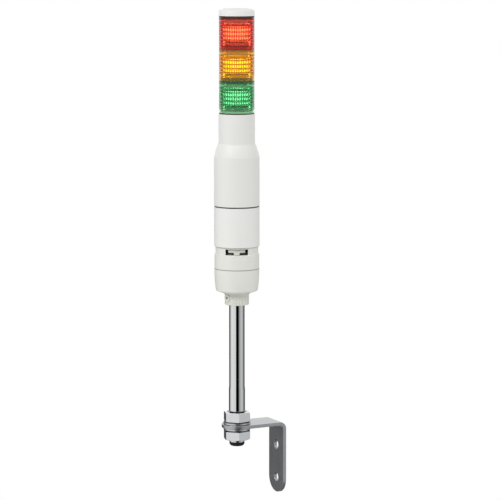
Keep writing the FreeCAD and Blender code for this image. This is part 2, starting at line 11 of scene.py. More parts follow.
import bpy
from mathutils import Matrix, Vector


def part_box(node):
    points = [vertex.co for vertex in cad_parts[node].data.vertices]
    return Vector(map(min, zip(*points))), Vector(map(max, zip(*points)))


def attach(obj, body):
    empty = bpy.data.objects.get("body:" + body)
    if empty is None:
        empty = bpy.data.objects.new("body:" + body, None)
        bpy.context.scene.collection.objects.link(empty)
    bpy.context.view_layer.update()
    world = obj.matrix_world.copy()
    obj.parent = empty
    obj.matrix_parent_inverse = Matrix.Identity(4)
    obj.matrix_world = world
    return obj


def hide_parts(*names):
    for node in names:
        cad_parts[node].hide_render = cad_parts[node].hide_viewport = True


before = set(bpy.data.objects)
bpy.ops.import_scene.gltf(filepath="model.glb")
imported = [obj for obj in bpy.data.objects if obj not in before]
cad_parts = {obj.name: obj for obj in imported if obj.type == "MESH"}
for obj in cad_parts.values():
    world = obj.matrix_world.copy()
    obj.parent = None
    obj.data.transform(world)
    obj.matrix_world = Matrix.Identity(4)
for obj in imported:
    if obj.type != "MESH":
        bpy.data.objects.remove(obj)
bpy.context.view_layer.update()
print("pieces in the frame:", len(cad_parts))

# %% [markdown]
# ## Places and sizes
# Places and outer sizes are read from the frame, in millimetres, because a light like this is drawn
# in millimetres. Finer sizes, such as a wall or a prism ring, get a name where they are first needed.
# The pole's axis is the middle of the whole tower, and the head is turned about it.

# %% Read places from the frame
MM = 0.001
HEAD_TURN = math.radians(-27.5)


def low_mm(node):
    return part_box(node)[0] / MM


def high_mm(node):
    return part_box(node)[1] / MM


def radius_mm(node):
    """Half the width of a round node."""
    return (high_mm(node).y - low_mm(node).y) / 2


pole_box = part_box("pole")
axis_x = (pole_box[0] + pole_box[1]).x / 2 / MM
print("tower axis at x", round(axis_x, 2), "mm")

# %% [markdown]
# ## Shader maths as Python
# A material here is written as sums on sockets. A small class wraps a socket, and plus, minus, times
# and the comparisons on it add Math nodes, also with a plain number on the left. Numbers alone stay
# Python's own affair.

# %% Wrap a socket
class Value:
    """A socket that Python's operators can work on."""

    def __init__(self, nodes, socket):
        self.nodes = nodes
        self.socket = socket

    def __add__(self, other):
        return self.nodes.maths("ADD", self, other)

    def __sub__(self, other):
        return self.nodes.maths("SUBTRACT", self, other)

    def __rsub__(self, other):
        return self.nodes.maths("SUBTRACT", other, self)

    def __mul__(self, other):
        return self.nodes.maths("MULTIPLY", self, other)

    def __gt__(self, other):
        return self.nodes.maths("GREATER_THAN", self, other)

    def __lt__(self, other):
        return self.nodes.maths("LESS_THAN", self, other)

    __radd__ = __add__
    __rmul__ = __mul__


print("sockets can be added, subtracted, multiplied and compared")

# %% [markdown]
# ## One method for every node
# Materials and the world both hold a tree of nodes. One method adds any node to it: the node's own
# settings go in first, because they can change which sockets it has, and then the values or links of
# its sockets.

# %% Wrap a tree of nodes
class Nodes:
    """A tree of shader nodes."""

    def __init__(self, tree):
        self.tree = tree

    def node(self, kind, settings=None, inputs=None, output=0):
        made = self.tree.nodes.new(kind)
        for setting, value in (settings or {}).items():
            if setting == "stops":
                stops = made.color_ramp.elements
                while len(stops) < len(value):
                    stops.new(1.0)
                for stop, (place, colour) in zip(stops, value):
                    stop.position = place
                    stop.color = colour
            else:
                setattr(made, setting, value)
        for socket, value in (inputs or {}).items():
            self.feed(made.inputs[socket], value)
        return Value(self, made.outputs[output])

    def feed(self, socket, value):
        if isinstance(value, Value):
            self.tree.links.new(value.socket, socket)
        else:
            socket.default_value = value

    def maths(self, operation, first, second=0):
        return self.node("ShaderNodeMath", {"operation": operation}, {0: first, 1: second})


print("nodes come from Nodes.node")

# %% [markdown]
# ## Colours
# A colour is red, green and blue, each from 0 to 1, and Blender wants an alpha of 1 after them. Few
# real surfaces have one colour all over, so most finishes fade between a colour and a tint of it.

# %% Write colours
def rgb(red, green, blue):
    return (red, green, blue, 1)


def grey(level):
    return rgb(level, level, level)


def tint(colour, shares):
    """The colour with its red, green and blue each times a share, and none above 1."""
    return rgb(*[min(1.0, part * share) for part, share in zip(colour, shares)])


print("half a white is", tint(grey(1), (0.5, 0.5, 0.5)))

# %% [markdown]
# ## A finish
# Each material has one Principled shader. Constant numbers are set on its sockets, and what varies
# over a piece is worked out from the point on the piece, in metres, so that a pattern keeps its true
# size on every piece. Where two pieces meet, shade is painted dark into the crack between them, and a
# finish can be told the heights of such gaps.

# %% Wrap a material
# how far a gap's painted shade is full, and where it ends
GAP_CORE = 0.25
GAP_REACH = 0.75


class Finish(Nodes):
    """A material with one Principled shader."""

    def __init__(self, name, **shader):
        self.material = bpy.data.materials.new(name)
        self.material.use_nodes = True
        super().__init__(self.material.node_tree)
        self.shader = self.tree.nodes["Principled BSDF"]
        for socket, value in shader.items():
            self.set(socket.replace("_", " "), value)

    def set(self, socket, value):
        self.feed(self.shader.inputs[socket], value)

    def place(self, stretch=(1, 1, 1)):
        """The point on the piece, in metres, stretched."""
        point = self.node("ShaderNodeTexCoord", output="Object")
        return self.node("ShaderNodeMapping", None, {"Vector": point, "Scale": stretch})

    def head_point(self):
        """The point on the piece in millimetres from the axis, with the head turned to face -Y."""
        turned_back = self.node("ShaderNodeVectorRotate", {"rotation_type": "Z_AXIS"}, {
            "Vector": self.place(), "Center": (axis_x * MM, 0, 0), "Angle": -HEAD_TURN})
        return self.node("ShaderNodeMapping", None, {
            "Vector": turned_back, "Location": (-axis_x, 0, 0), "Scale": (1 / MM, 1 / MM, 1 / MM)})

    def part(self, vector, index):
        """The x, y or z of a vector."""
        return self.node("ShaderNodeSeparateXYZ", None, {"Vector": vector}, output=index)

    def noise(self, scale, detail, stretch=(1, 1, 1)):
        return self.node("ShaderNodeTexNoise", None, {
            "Vector": self.place(stretch), "Scale": scale, "Detail": detail})

    def blend(self, mask, first, second):
        """One colour fading into another by a mask from 0 to 1."""
        return self.node("ShaderNodeMix", {"data_type": "RGBA"}, {0: mask, 6: first, 7: second}, output=2)

    def ramp(self, value, stops):
        return self.node("ShaderNodeValToRGB", {"stops": stops}, {0: value})

    def fade(self, value, start, end):
        """From 0 where value is at start to 1 where it is at end, softly."""
        return self.node("ShaderNodeMapRange", {"interpolation_type": "SMOOTHSTEP"}, {
            "Value": value, "From Min": start, "From Max": end})

    def gap_shade(self, heights):
        """The mask of painted shade: 1 at each of these heights in millimetres, and 0 a little way off."""
        shade = 0
        for height in heights:
            away = self.maths("ABSOLUTE", self.part(self.place(), 2) - height * MM)
            shade = shade + self.fade(away, GAP_REACH * MM, GAP_CORE * MM)
        return shade

    def bump(self, height, strength, depth):
        self.set("Normal", self.node("ShaderNodeBump", None, {
            "Height": height, "Strength": strength, "Distance": depth}))

    def paint(self, *pieces):
        for piece in pieces:
            piece.data.materials.clear()
            piece.data.materials.append(self.material)


print("finishes come from Finish")

# %% [markdown]
# ## The camera
# A long lens from far away keeps the tower's sides upright. The camera stands square before the head
# and looks a little down, so the lowest pieces show more of their upper faces than the globes do.

# %% Set up the camera
CAMERA_AZIMUTH = HEAD_TURN
CAMERA_TILT = math.radians(7.4)
CAMERA_DISTANCE = 2.62
SENSOR_WIDTH = 36
AIM_HEIGHT = 0.5111    # as a share of the tower's height
AIM_SIDEWAYS = 14.5
VIEW_HEIGHT = 1.0165    # as a share of the tower's height

sideways = Vector((math.cos(CAMERA_AZIMUTH), math.sin(CAMERA_AZIMUTH), 0))
backwards = Vector((math.sin(CAMERA_AZIMUTH) * math.cos(CAMERA_TILT),
                    -math.cos(CAMERA_AZIMUTH) * math.cos(CAMERA_TILT),
                    math.sin(CAMERA_TILT)))
tower_foot = low_mm("mounting_bracket").z
tower_height = high_mm("top_cap").z - tower_foot
aim = Vector((axis_x * MM, 0, (tower_foot + tower_height * AIM_HEIGHT) * MM)) + sideways * AIM_SIDEWAYS * MM
bpy.ops.object.camera_add(location=aim + backwards * CAMERA_DISTANCE)
camera = bpy.context.object
camera.rotation_mode = "QUATERNION"
camera.rotation_quaternion = (-backwards).to_track_quat("-Z", "Y")
camera.data.sensor_width = SENSOR_WIDTH
camera.data.lens = SENSOR_WIDTH * CAMERA_DISTANCE / (tower_height * MM * VIEW_HEIGHT)
bpy.context.scene.camera = camera
print("lens", round(camera.data.lens, 1), "mm")

# %% [markdown]
# ## Floor and world
# The tower hangs on a wall bracket, so the floor lies well below it. A light path tells the background
# what kind of ray meets it: it is plain white to the camera, in metal and through clear plastic, and a
# softer grey to the rays that light the object, so that the off-white moulding keeps its shade.

# %% Lay the floor
FLOOR_DROP = 1.1
FLOOR_SIZE = 24
PAPER_WHITE = 0.85

floor_z = tower_foot * MM - FLOOR_DROP
bpy.ops.mesh.primitive_plane_add(size=FLOOR_SIZE, location=(0, 0, floor_z))
floor = bpy.context.object
floor.name = "floor"


def white_where_seen(tree, surface, white_kind):
    """Plain white for the camera, in metal and through clear plastic, and surface for other rays."""
    nodes = Nodes(tree)
    seen = nodes.node("ShaderNodeLightPath", output="Is Camera Ray")
    for ray in ("Is Glossy Ray", "Is Transmission Ray"):
        seen = nodes.maths("MAXIMUM", seen, nodes.node("ShaderNodeLightPath", output=ray))
    white = nodes.node(white_kind, None, {"Color": grey(1), "Strength": 1.0})
    mix = nodes.node("ShaderNodeMixShader", None, {
        0: seen, 1: Value(nodes, surface.outputs[0]), 2: white})
    output = next(node for node in tree.nodes if node.type in ("OUTPUT_MATERIAL", "OUTPUT_WORLD"))
    nodes.feed(output.inputs["Surface"], mix)


paper = Finish("floor_paper", Base_Color=grey(PAPER_WHITE), Roughness=0.8)
white_where_seen(paper.tree, paper.shader, "ShaderNodeEmission")
paper.paint(floor)
print("floor lies at", round(floor_z, 3), "m")

# %% [markdown]
# ## The world
# Soft light comes from all round, as from a studio's white walls, and reaches into the shade that the
# lamps leave.

# %% Light the world
WORLD_STRENGTH = 0.60

world = bpy.data.worlds.new("studio")
bpy.context.scene.world = world
world.use_nodes = True
world_light = world.node_tree.nodes["Background"]
world_light.inputs["Color"].default_value = grey(1)
world_light.inputs["Strength"].default_value = WORLD_STRENGTH
white_where_seen(world.node_tree, world_light, "ShaderNodeBackground")
print("world strength", WORLD_STRENGTH)

# %% [markdown]
# ## Lamps
# Two large soft lamps hang high in front: upright walls don't mirror them, but every sloping edge and
# prism ring does. A third stands at the right and lifts the shadow side; it is kept out of mirrors,
# where it would show as a white stripe. Each lamp is placed by its angle round the tower, so the light
# is easy to turn.

# %% Hang the lamps
tower_middle = Vector((axis_x * MM, 0, aim.z))


def soft_lamp(name, angle, distance, height, width, tall, watts):
    """A lamp beside the tower: angle in degrees from the camera's side, positive to the right."""
    turn = CAMERA_AZIMUTH + math.radians(angle)
    place = tower_middle + Vector((math.sin(turn), -math.cos(turn), 0)) * distance + Vector((0, 0, height))
    bpy.ops.object.light_add(type="AREA", location=place)
    lamp = bpy.context.object
    lamp.name = name
    lamp.data.shape = "RECTANGLE"
    lamp.data.size, lamp.data.size_y = width, tall
    lamp.data.energy = watts
    lamp.rotation_mode = "QUATERNION"
    lamp.rotation_quaternion = (tower_middle - place).to_track_quat("-Z", "Y")
    return lamp


soft_lamp("key_lamp", angle=-44, distance=2.5, height=1.7, width=2.0, tall=1.2, watts=37)
soft_lamp("front_lamp", angle=4, distance=2.4, height=1.9, width=2.2, tall=0.5, watts=12)
side_lamp = soft_lamp("side_lamp", angle=84, distance=2.2, height=0.5, width=1.0, tall=1.8, watts=11)
side_lamp.visible_glossy = False

# %% [markdown]
# ## Mirror screens
# Polished metal shows what stands round it. A studio gives it white screens and black flags, and here
# two round screens stand about the tower that only mirrors see, each brighter or darker from one
# direction to another. The low one is black on the camera's side, which draws the sharp stripe down
# the plated pole.

# %% Stand the mirror screens
SCREEN_DISTANCE = 2.0
SCREEN_SIDES = 96
LOW_SCREEN_TOP = 0.118
HIGH_SCREEN_FOOT, HIGH_SCREEN_TOP = 0.19, 1.04
# degrees from the camera's side, positive to the right, and how bright the screen is there
LOW_SCREEN = [(-180, 0.05), (-125, 0.06), (-113, 0.36), (-100, 0.90), (-72, 1.05), (-45, 0.97),
              (-15, 0.92), (-11, 0.0), (26, 0.0), (31, 0.36), (45, 0.50), (66, 0.74), (85, 0.72),
              (100, 0.46), (113, 0.20), (140, 0.14), (180, 0.10)]
HIGH_SCREEN = [(-180, 1.15), (-130, 1.15), (-120, 0.5), (120, 0.5), (130, 1.15), (180, 1.15)]


def only_in_mirrors(screen, name):
    screen.name = name
    screen.visible_camera = screen.visible_diffuse = False
    screen.visible_shadow = screen.visible_transmission = False


def mirror_screen(name, foot, top, shades):
    """A ring round the tower, brighter or darker from one direction to another."""
    bpy.ops.mesh.primitive_cylinder_add(
        vertices=SCREEN_SIDES, radius=SCREEN_DISTANCE, depth=top - foot, end_fill_type="NOTHING",
        location=(tower_middle.x, tower_middle.y, (foot + top) / 2), rotation=(0, 0, CAMERA_AZIMUTH))
    screen = bpy.context.object
    paint = Finish(name, Base_Color=grey(0), Specular_IOR_Level=0, Emission_Strength=1)
    point = paint.place()
    around = paint.maths("ARCTAN2", paint.part(point, 0), 0 - paint.part(point, 1))
    stops = [(angle / 360 + 0.5, grey(shade)) for angle, shade in shades]
    paint.set("Emission Color", paint.ramp(around * (0.5 / math.pi) + 0.5, stops))
    paint.paint(screen)
    only_in_mirrors(screen, name)


mirror_screen("low_screen", floor_z + 0.01, LOW_SCREEN_TOP, LOW_SCREEN)
mirror_screen("high_screen", HIGH_SCREEN_FOOT, HIGH_SCREEN_TOP, HIGH_SCREEN)
print("screens stand", SCREEN_DISTANCE, "m from the tower")

# %% [markdown]
# ## A dark card
# The bracket's lower faces would mirror the white floor and glare. A dark card between them and the
# floor, which again only mirrors see, keeps them the grey of zinc.

# %% Lay the dark card
CARD_RADIUS = 1.25
CARD_HEIGHT = 0.35
CARD_GLOW = 0.22

bpy.ops.mesh.primitive_circle_add(
    vertices=SCREEN_SIDES, radius=CARD_RADIUS, fill_type="NGON",
    location=(tower_middle.x, tower_middle.y, floor_z + CARD_HEIGHT))
dark_card = bpy.context.object
card_paint = Finish("dark_card", Base_Color=grey(0), Specular_IOR_Level=0, Emission_Color=grey(1),
                    Emission_Strength=CARD_GLOW)
card_paint.paint(dark_card)
only_in_mirrors(dark_card, "dark_card")
print("dark card lies", CARD_HEIGHT, "m above the floor")

# %% [markdown]
# ## The off-white moulding
# Cases, cap, sound ring and pole bracket are moulded in off-white plastic, and the white differs a
# little from piece to piece; the cap's is painted lighter, as painted top light. It is satin, not
# glossy: the mould leaves an even, very fine grain, and the white drifts from place to place where the
# melt cooled slower. Noise at several scales gives the drift, the grain, and a slight change of gloss.
# The collar's wall is thicker than the cup's above it, and the collar is painted darker, as painted
# shade. The joints under the lower case and under the sound ring are painted grey, as painted shade.

# %% Mix the moulded plastic
WHITE_DRIFT = (0.975, 0.975, 0.965)
# painted shade: the collar's darker tint, and the grey of the case joints
COLLAR_SHADE = (0.89, 0.895, 0.86)
SEAM_SHADE = rgb(0.36, 0.37, 0.36)
GLOSS_SPREAD = 0.10
COLLAR_HEIGHT = 12.8


def moulded(name, colour, drift, roughness=0.42, seam=None, shaded_below=None):
    """Satin plastic. Painted shade: grey in the joint at height seam, and a darker tint below a given
    height.
    """
    finish = Finish(name, Specular_IOR_Level=0.42, IOR=1.5)
    plain = finish.blend(finish.noise(28, 4), rgb(*colour), tint(colour, drift))
    if shaded_below is not None:
        height = finish.part(finish.place(), 2)
        below = finish.fade(height, (shaded_below + 1) * MM, (shaded_below - 1) * MM)
        plain = finish.blend(below, plain, tint(colour, COLLAR_SHADE))
    if seam is not None:
        plain = finish.blend(finish.gap_shade([seam]), plain, SEAM_SHADE)
    finish.set("Base Color", plain)
    finish.set("Roughness", finish.noise(160, 5) * GLOSS_SPREAD + (roughness - GLOSS_SPREAD / 2))
    finish.bump(finish.noise(2600, 2) + finish.noise(900, 2) * 0.5, 0.1, 0.02 * MM)
    return finish


body_white = moulded("moulded_off_white", (0.765, 0.765, 0.745), WHITE_DRIFT)
# painted top light: the cap's white is lighter than the body's
lit_cap_white = moulded("moulded_lit_cap_white", (0.81, 0.81, 0.785), WHITE_DRIFT)
# painted shade in the joint under the lower case
bright_white = moulded("moulded_bright_white", (0.80, 0.80, 0.78), WHITE_DRIFT,
                       seam=low_mm("lower_case").z)
# painted shade in the joint under the sound ring, and on the collar
warm_white = moulded("moulded_warm_white", (0.750, 0.758, 0.712), (0.975, 0.98, 0.965),
                     seam=low_mm("sound_ring").z, shaded_below=low_mm("pole_bracket").z + COLLAR_HEIGHT)
lever_grey = moulded("moulded_lever", (0.66, 0.68, 0.62), (0.95, 0.96, 0.94), roughness=0.38)
buzzer_black = moulded("moulded_black", (0.022, 0.022, 0.024), (1.3, 1.3, 1.3), roughness=0.45)
# painted shade: the dividers are painted black where the joints between the colours lie in shade
divider_shade_black = moulded("moulded_divider_shade", (0.03, 0.03, 0.03), (0.95, 0.95, 0.95), roughness=0.35)
print("moulded plastics mixed")

# %% [markdown]
# ## Coloured globes
# The globes are clear coloured plastic. What makes them glow is depth: light enters, meets the prism
# rings and the plates inside, and comes back through the colour twice. Most of the light passes, and a
# share is scattered, which stands for the haze that every moulded colour has. The colour is painted in
# bands up the globe: near its ends, where one globe sits in the next and the divider or the white neck
# lies behind, it is darker in places, as painted shade, and paler in others, as painted light, and a
# paler band below the top is painted light too.

# %% Mix the globe plastics
SPIGOT_HEIGHT = 3.0
CLOUD_LIGHT = 1.08
# share of the globe's height, and the red, green and blue there; the bands hold painted shade and
# painted light as well as the globe's own colour
RED_SHADE_AND_LIGHT_BANDS = [
    (0.00, (0.93, 0.090, 0.045)), (0.10, (0.84, 0.050, 0.020)), (0.80, (0.84, 0.050, 0.020)),
    (0.85, (1.0, 0.20, 0.140)), (0.90, (1.0, 0.20, 0.140)), (0.93, (0.42, 0.040, 0.025)),
    (1.00, (0.30, 0.030, 0.020))]
AMBER_SHADE_AND_LIGHT_BANDS = [
    (0.00, (0.58, 0.47, 0.12)), (0.10, (0.82, 0.52, 0.07)), (0.14, (1.0, 0.52, 0.020)),
    (0.25, (0.99, 0.46, 0.014)), (0.80, (0.97, 0.43, 0.012)), (0.85, (1.0, 0.66, 0.10)),
    (0.90, (1.0, 0.66, 0.10)), (0.93, (0.88, 0.40, 0.05)), (1.00, (0.84, 0.45, 0.11))]
GREEN_SHADE_AND_LIGHT_BANDS = [
    (0.00, (0.52, 0.86, 0.58)), (0.10, (0.52, 0.86, 0.58)), (0.13, (0.12, 0.56, 0.21)),
    (0.25, (0.080, 0.47, 0.170)), (0.80, (0.080, 0.47, 0.170)), (0.84, (0.34, 0.76, 0.44)),
    (0.90, (0.34, 0.76, 0.44)), (0.93, (0.11, 0.44, 0.19)), (1.00, (0.20, 0.48, 0.26))]


def globe_plastic(name, node, bands):
    """Clear colour in bands up the globe's outer wall, with painted shade and painted light in the bands;
    the wall ends where the spigot starts.
    """
    finish = Finish(name, IOR=1.49, Transmission_Weight=0.90, Specular_IOR_Level=0.5)
    low, high = low_mm(node).z, high_mm(node).z - SPIGOT_HEIGHT
    share = (finish.part(finish.place(), 2) - low * MM) * (1 / (high - low) / MM)
    full = finish.ramp(share, [(place, rgb(*colour)) for place, colour in bands])
    light = finish.ramp(share, [(place, tint(colour, (CLOUD_LIGHT,) * 3)) for place, colour in bands])
    finish.set("Base Color", finish.blend(finish.noise(60, 3), full, light))
    finish.set("Roughness", finish.noise(240, 3) * 0.03 + 0.015)
    finish.bump(finish.noise(420, 2), 0.05, 0.02 * MM)
    return finish


red_plastic = globe_plastic("globe_red", "red_lens", RED_SHADE_AND_LIGHT_BANDS)
amber_plastic = globe_plastic("globe_amber", "amber_lens", AMBER_SHADE_AND_LIGHT_BANDS)
green_plastic = globe_plastic("globe_green", "green_lens", GREEN_SHADE_AND_LIGHT_BANDS)
print("globe plastics mixed")

# %% [markdown]
# ## Faceted plates
# A clear plate stands before each lamp board. Each of its facets holds a glowing spot, dark towards
# the facet's rim: painted light, which stands in for the light the facet gathers and the highlight it
# shows. The rows and columns of spots are what shows through the colour. A ping-pong node counts out
# the facets: it runs up and down again, once for each facet.

# %% Mix the plates
FACET_WIDTH = 2.54
FACET_HEIGHT = 3.6


def glowing_plate_plastic(name, node, glow, glow_colour):
    finish = Finish(name, IOR=1.49, Transmission_Weight=0.6, Roughness=0.12, Emission_Strength=glow)
    point = finish.head_point()
    top_row = high_mm(node).z - FACET_HEIGHT / 2
    from_column = finish.maths("PINGPONG", finish.part(point, 0) - FACET_WIDTH / 2, FACET_WIDTH / 2)
    from_row = finish.maths("PINGPONG", finish.part(point, 2) - top_row, FACET_HEIGHT / 2)
    across, along = from_column * (1 / FACET_WIDTH), from_row * (1 / FACET_HEIGHT)
    # painted light: a glowing spot on each facet
    spot = finish.fade(across, 0.30, 0.12) * finish.fade(along, 0.34, 0.12)
    cloud = finish.noise(300, 2)
    finish.set("Base Color", finish.blend(cloud, grey(0.64), grey(0.76)))
    finish.set("Emission Color", finish.blend(spot * (cloud + 0.5), grey(0), rgb(*glow_colour)))
    return finish


print("facets are", FACET_WIDTH, "mm wide and", FACET_HEIGHT, "mm high")

# %% [markdown]
# ## Metals
# The pole is plated and polished, so it is all reflection and only a few smudges break it. Nuts and
# washers have zinc, which is cloudier. The bracket was cut from rolled plate and then zinc plated: it
# is rougher, and the rolling leaves faint lines along it. The gaps between nut and washer, the pole
# just above the upper nut, and the mouth of each nut round the pole are painted dark, as painted shade.

# %% Mix the metals
# painted shade: the grey painted into the gaps and round the pole in each nut's mouth
GAP_SHADE_GREY = grey(0.10)
DULL = (0.9, 0.9, 0.9)
NUT_MOUTH = 10.5
LOWER_NUT_SHADE = 0.9
UPPER_NUT_SHADE = 0.3
POLE_SHADE = 0.5


def metal(name, colour, roughness, spread, cloud_scale, stretch=(1, 1, 1), grain=0, gaps=(), mouth=None):
    """Zinc or chrome, with painted shade in the gaps at some heights and within the radius mouth, in
    millimetres.
    """
    finish = Finish(name, Metallic=1.0)
    plain = finish.blend(finish.noise(cloud_scale, 4, stretch), rgb(*colour), tint(colour, DULL))
    shade = finish.gap_shade(gaps)
    if mouth:
        point = finish.head_point()
        across, along = finish.part(point, 0), finish.part(point, 1)
        shade = shade + finish.fade(across * across + along * along, (mouth + 1) ** 2, mouth ** 2)
    finish.set("Base Color", finish.blend(shade, plain, GAP_SHADE_GREY))
    gloss = finish.noise(cloud_scale * 3, 3, stretch)
    finish.set("Roughness", gloss * spread + (roughness - spread / 2))
    if grain:
        finish.bump(finish.noise(1800, 2, stretch), grain, 0.02 * MM)
    return finish


washer_faces = [face for node in ("upper_washer", "lower_washer")
                for face in (low_mm(node).z, high_mm(node).z)]
nut_faces = [high_mm("lower_nut").z - LOWER_NUT_SHADE, low_mm("upper_nut").z + UPPER_NUT_SHADE]
nut_gaps = washer_faces + nut_faces
nut_top = high_mm("upper_nut").z
pole_chrome = metal("pole_chrome", (0.70, 0.715, 0.72), roughness=0.07, spread=0.05, cloud_scale=40,
                    stretch=(1, 1, 0.25), gaps=[nut_top + POLE_SHADE])
nut_zinc = metal("nut_zinc", (0.71, 0.73, 0.75), roughness=0.26, spread=0.10, cloud_scale=120,
                 grain=0.05, gaps=nut_gaps, mouth=NUT_MOUTH)
washer_zinc = metal("washer_zinc", (0.56, 0.57, 0.58), roughness=0.30, spread=0.10, cloud_scale=120,
                    grain=0.06, gaps=washer_faces)
bracket_zinc = metal("bracket_zinc", (0.45, 0.46, 0.48), roughness=0.34, spread=0.10, cloud_scale=60,
                     stretch=(0.4, 1.6, 0.4), grain=0.08)
screw_zinc = metal("screw_zinc", (0.50, 0.51, 0.52), roughness=0.32, spread=0.10, cloud_scale=200,
                   grain=0.05)
print("metals mixed")

# %% [markdown]
# ## Rubber
# The gaskets and the bush are black rubber, matt with a faint bloom. The bush lies in shade at the
# pole's lower end, and its rubber is painted darker than the gaskets', as painted shade, so it is the
# blackest piece of all.

# %% Mix the rubber
BLOOM = (2.2, 2.2, 2.2)


def rubber(name, shade):
    finish = Finish(name, Specular_IOR_Level=0.35)
    finish.set("Base Color", finish.blend(finish.noise(90, 5), rgb(*shade), tint(shade, BLOOM)))
    finish.set("Roughness", finish.noise(300, 3) * 0.15 + 0.5)
    finish.bump(finish.noise(1500, 3), 0.15, 0.03 * MM)
    return finish


gasket_rubber = rubber("gasket_rubber", (0.018, 0.020, 0.020))
# painted shade: the bush is painted darker than the gaskets
bush_rubber = rubber("bush_rubber", (0.004, 0.004, 0.004))
print("rubber mixed")

# %% [markdown]
# ## Circuit boards
# The control board has a green mask with copper lines just showing through. A Voronoi texture's edges
# stand for the lines.

# %% Mix the board mask
COPPER_LINE = 0.05


def board_mask(name, mask, copper):
    finish = Finish(name, Specular_IOR_Level=0.5, Coat_Weight=0.3, Coat_Roughness=0.2)
    from_edge = finish.node("ShaderNodeTexVoronoi", {"feature": "DISTANCE_TO_EDGE"},
                            {"Vector": finish.place(), "Scale": 420})
    lines = from_edge < COPPER_LINE
    finish.colour = finish.blend(lines, rgb(*mask), rgb(*copper))
    finish.set("Base Color", finish.colour)
    finish.set("Roughness", finish.noise(400, 2) * 0.1 + 0.35)
    finish.bump(lines, 0.2, 0.02 * MM)
    return finish


control_board_green = board_mask("control_board_green", (0.03, 0.20, 0.08), (0.09, 0.32, 0.12))
print("board mask mixed")

# %% [markdown]
# ## Lamp boards
# Each stage has two white boards, back to back between its clear plates, with rows of small lamps on
# their outer faces. Each lamp is a pale block with a round spot of yellow phosphor, and the finish
# tells lamp from board by how far it stands proud.

# %% Mix the lamp boards
LAMP_PITCH = 6.0
LAMP_ROWS_DROP = 1.0
PHOSPHOR_RADIUS = 1.2
LAMP_FOOT = 3.4    # from the head's middle plane, just proud of the board's face


def lamp_board(name, node):
    """White board whose lamps stand proud of it, each with a round yellow phosphor."""
    finish = board_mask(name, (0.80, 0.80, 0.76), (0.72, 0.70, 0.62))
    point = finish.head_point()
    rows_middle = (low_mm(node).z + high_mm(node).z) / 2 - LAMP_ROWS_DROP
    across = finish.maths("PINGPONG", finish.part(point, 0) - LAMP_PITCH / 2, LAMP_PITCH / 2)
    along = finish.maths("PINGPONG", finish.part(point, 2) - rows_middle, LAMP_PITCH / 2)
    phosphor = across * across + along * along < PHOSPHOR_RADIUS ** 2
    proud = finish.maths("ABSOLUTE", finish.part(point, 1)) > LAMP_FOOT
    finish.set("Base Color", finish.blend(phosphor * proud, finish.colour, rgb(0.92, 0.66, 0.06)))
    return finish


print("lamps stand", LAMP_PITCH, "mm apart")

# %% [markdown]
# ## Helpers for shapes
# Every piece is finished the same way: a bevel on each sharp edge, smooth shading across the gentle
# ones, and weighted normals, which keep large faces flat. The bevel catches a thin line of light, which
# is what tells the eye that a piece is moulded or machined and not cut from paper. Modifiers are
# applied at once.

# %% Select and finish a piece
def only(piece):
    bpy.ops.object.select_all(action="DESELECT")
    piece.select_set(True)
    bpy.context.view_layer.objects.active = piece


def apply_modifier(piece, kind, **settings):
    only(piece)
    modifier = piece.modifiers.new(kind.lower(), kind)
    for setting, value in settings.items():
        setattr(modifier, setting, value)
    bpy.ops.object.modifier_apply(modifier=modifier.name)


def soften(piece, width, segments, angle=30):
    """Rounds every sharp edge, shades smooth across the gentle ones, and keeps the large faces flat."""
    apply_modifier(piece, "BEVEL", width=width * MM, segments=segments, limit_method="ANGLE",
                   angle_limit=math.radians(angle))
    only(piece)
    bpy.ops.object.shade_smooth_by_angle(angle=math.radians(angle + 15))
    apply_modifier(piece, "WEIGHTED_NORMAL", mode="FACE_AREA", weight=60, keep_sharp=True)


print("softener ready")

# %% [markdown]
# ## Turning an outline
# Most of this light is turned, as on a lathe. The outline starts as a single point, is extruded from
# corner to corner, and is spun once round the tower's axis. Doubles are merged before the normals are
# set right, because the spin leaves a seam.

# %% Spin an outline
SAME_POINT = 0.002 * MM


def start_point(name, radius, height):
    """A new piece in edit mode with one point, selected, at this radius and height."""
    bpy.ops.object.select_all(action="DESELECT")
    bpy.ops.mesh.primitive_plane_add(size=MM, location=(0, 0, 0))
    piece = bpy.context.object
    piece.name = piece.data.name = name
    bpy.ops.object.mode_set(mode="EDIT")
    bpy.ops.mesh.merge(type="CENTER")
    bpy.ops.transform.translate(value=((axis_x + radius) * MM, 0, height * MM))
    return piece


def extrude_by(radius, height):
    bpy.ops.mesh.extrude_region_move(TRANSFORM_OT_translate={"value": (radius * MM, 0, height * MM)})


def turned(name, outline, bevel, steps=128, segments=2):
    """A solid from (radius, height) corners in millimetres; an outline off the axis closes on itself."""
    piece = start_point(name, *outline[0])
    on_axis = outline[0][0] == outline[-1][0] == 0
    corners = outline if on_axis else outline + [outline[0]]
    for (r0, z0), (r1, z1) in zip(corners, corners[1:]):
        extrude_by(r1 - r0, z1 - z0)
    bpy.ops.mesh.select_all(action="SELECT")
    bpy.ops.mesh.spin(steps=steps, angle=2 * math.pi, center=(axis_x * MM, 0, 0), axis=(0, 0, 1))
    bpy.ops.mesh.select_all(action="SELECT")
    bpy.ops.mesh.remove_doubles(threshold=SAME_POINT)
    bpy.ops.mesh.normals_make_consistent(inside=False)
    bpy.ops.object.mode_set(mode="OBJECT")
    soften(piece, bevel, segments)
    return piece


print("lathe ready, axis at x", round(axis_x, 2), "mm")

# %% [markdown]
# ## Curves in an outline
# Some walls bow a little between two corners. A parabola through both gives the corners between them:
# its middle stands off the straight line by the bulge.

